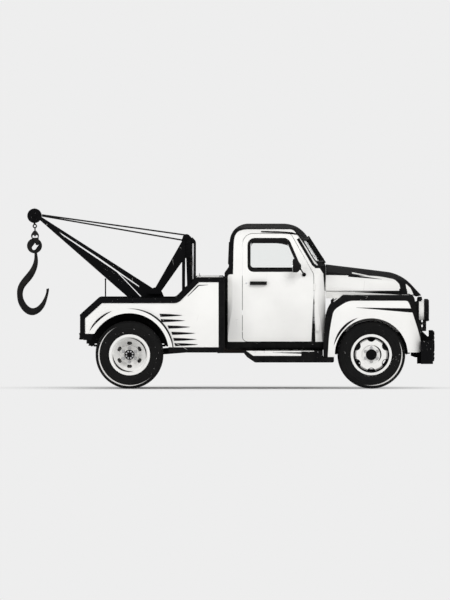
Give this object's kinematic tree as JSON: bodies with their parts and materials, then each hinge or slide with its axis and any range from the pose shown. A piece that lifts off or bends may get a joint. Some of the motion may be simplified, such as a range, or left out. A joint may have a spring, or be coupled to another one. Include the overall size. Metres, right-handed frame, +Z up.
{
  "type": "tow truck",
  "caption": "Light tow truck with a rounded hollow cab, pontoon front wings, flat recovery bed, braced mast and a raised boom that carries a chain and forged hook.",
  "frame": {"origin": "on the floor at the middle of the whole truck's box, on its centre plane", "axes": "+X forwards, +Y to the truck's left, +Z up"},
  "size_m": [5.076, 2.068, 2.1871],
  "materials": {
    "cream_paint": "satin",
    "wheel_paint": "satin",
    "black_paint": "satin, chipped at the edges",
    "forged_steel": "blackened",
    "wire_rope": "oiled",
    "chassis_black": "matt",
    "deck_plate": "worn",
    "cast_metal": "matt",
    "exhaust_steel": "heat stained",
    "window_glass": "clear",
    "lamp_glass": "fluted",
    "red_lens": "gloss",
    "trim_black": "satin",
    "dash_paint": "satin",
    "wheel_bakelite": "gloss",
    "seat_leather": "satin",
    "tyre_rubber": "matt"
  },
  "bodies": {
    "truck": {"front_axle": "chassis_black", "rear_axle": "chassis_black", "leaf_springs": "chassis_black", "chassis_frame": "chassis_black", "engine": "cast_metal", "radiator": "chassis_black", "exhaust": "exhaust_steel", "cab_shell": "cream_paint", "cab_glass": "window_glass", "seat": "seat_leather", "dashboard": "dash_paint", "front_wing_left": "cream_paint", "front_wing_right": "cream_paint", "headlamp_left": "cream_paint", "headlamp_right": "cream_paint", "headlamp_lens_left": "lamp_glass", "headlamp_lens_right": "lamp_glass", "grille": "black_paint", "front_bumper": "black_paint", "running_board_left": "cream_paint", "running_board_right": "cream_paint", "bed_side_left": "cream_paint", "bed_side_right": "cream_paint", "bed_rail_left": "black_paint", "bed_rail_right": "black_paint", "rear_bumper": "black_paint", "bed_deck": "deck_plate", "bed_bearers": "chassis_black", "locker": "cream_paint", "tail_lamps": "red_lens", "mast": "black_paint", "boom_rest": "black_paint"},
    "rear_wheels_left": {"wheels_rear_left": "wheel_paint", "tyres_rear_left": "tyre_rubber"},
    "rear_wheels_right": {"wheels_rear_right": "wheel_paint", "tyres_rear_right": "tyre_rubber"},
    "steered_left": {"knuckle_left": "chassis_black"},
    "steered_right": {"knuckle_right": "chassis_black"},
    "front_wheel_left": {"wheel_front_left": "wheel_paint", "tyre_front_left": "tyre_rubber"},
    "front_wheel_right": {"wheel_front_right": "wheel_paint", "tyre_front_right": "tyre_rubber"},
    "track_rod": {"tie_rod": "chassis_black"},
    "steering": {"steering_wheel": "wheel_bakelite"},
    "door_l": {"door_left": "cream_paint", "door_glass_left": "window_glass", "door_trim_left": "trim_black"},
    "door_r": {"door_right": "cream_paint", "door_glass_right": "window_glass", "door_trim_right": "trim_black"},
    "hood": {"bonnet": "cream_paint"},
    "lid": {"locker_lid": "cream_paint"},
    "boom_arm": {"boom": "black_paint"},
    "topping": {"topping_line": "wire_rope"},
    "chain_link": {"chain": "forged_steel"},
    "hook_body": {"hook": "forged_steel"},
    "winch": {"winch_drum": "black_paint"}
  },
  "joints": [
    {"name": "rear_spin_left", "type": "hinge", "parent": "truck", "child": "rear_wheels_left", "pos_m": [-1.165, 0.775, 0.414], "axis": [0, 1, 0], "continuous": true},
    {"name": "rear_spin_right", "type": "hinge", "parent": "truck", "child": "rear_wheels_right", "pos_m": [-1.165, -0.775, 0.414], "axis": [0, 1, 0], "continuous": true},
    {"name": "steer_left", "type": "hinge", "parent": "truck", "child": "steered_left", "pos_m": [1.785, 0.64, 0.406], "axis": [0, 0, 1], "range_deg": [-28, 28]},
    {"name": "steer_right", "type": "hinge", "parent": "truck", "child": "steered_right", "pos_m": [1.785, -0.64, 0.406], "axis": [0, 0, 1], "range_deg": [-28, 28]},
    {"name": "track_rod_slide", "type": "slide", "parent": "truck", "child": "track_rod", "axis": [0, 1, 0], "range_m": [-0.0745, 0.0745]},
    {"name": "steering_turn", "type": "hinge", "parent": "truck", "child": "steering", "pos_m": [0.8, 0.365, 1.27], "axis": [-0.788, 0, 0.6157], "range_deg": [-510, 510]},
    {"name": "front_spin_left", "type": "hinge", "parent": "steered_left", "child": "front_wheel_left", "pos_m": [1.785, 0.76, 0.414], "axis": [0, 1, 0], "continuous": true},
    {"name": "front_spin_right", "type": "hinge", "parent": "steered_right", "child": "front_wheel_right", "pos_m": [1.785, -0.76, 0.414], "axis": [0, 1, 0], "continuous": true},
    {"name": "door_swing_left", "type": "hinge", "parent": "truck", "child": "door_l", "pos_m": [1.09, 0.818, 1], "axis": [0, 0, -1], "range_deg": [0, 65]},
    {"name": "door_swing_right", "type": "hinge", "parent": "truck", "child": "door_r", "pos_m": [1.09, -0.818, 1], "axis": [0, 0, 1], "range_deg": [0, 65]},
    {"name": "hood_lift", "type": "hinge", "parent": "truck", "child": "hood", "pos_m": [1.231, 0, 1.512], "axis": [0, -1, 0], "range_deg": [0, 50]},
    {"name": "lid_lift", "type": "hinge", "parent": "truck", "child": "lid", "pos_m": [-0.024, 0, 1.363], "axis": [0, 1, 0], "range_deg": [0, 70]},
    {"name": "boom_lift", "type": "hinge", "parent": "truck", "child": "boom_arm", "pos_m": [-0.854, 0, 1.16], "axis": [0, 1, 0], "range_deg": [0, 25], "deforming": ["topping_line"]},
    {"name": "topping_swing", "type": "hinge", "parent": "boom_arm", "child": "topping", "pos_m": [-2.324, 0, 2.101], "axis": [0, 1, 0], "range_deg": [-3, 0.5]},
    {"name": "chain_plumb", "type": "hinge", "parent": "boom_arm", "child": "chain_link", "pos_m": [-2.324, 0, 2.101], "axis": [0, 1, 0], "range_deg": [-26, 1]},
    {"name": "hook_swing", "type": "hinge", "parent": "chain_link", "child": "hook_body", "pos_m": [-2.291, 0, 1.763], "axis": [0, 1, 0], "range_deg": [-30, 30]},
    {"name": "winch_turn", "type": "hinge", "parent": "truck", "child": "winch", "pos_m": [-0.414, 0, 1.6], "axis": [0, 1, 0], "continuous": true}
  ],
  "couplings": [
    {"joint": "steer_right", "follows": "steer_left", "ratio": 1},
    {"joint": "track_rod_slide", "follows": "steer_left", "m_per_rad": -0.15},
    {"joint": "steering_turn", "follows": "steer_left", "ratio": 18},
    {"joint": "topping_swing", "follows": "boom_lift", "ratio": -0.1},
    {"joint": "chain_plumb", "follows": "boom_lift", "ratio": -1}
  ]
}
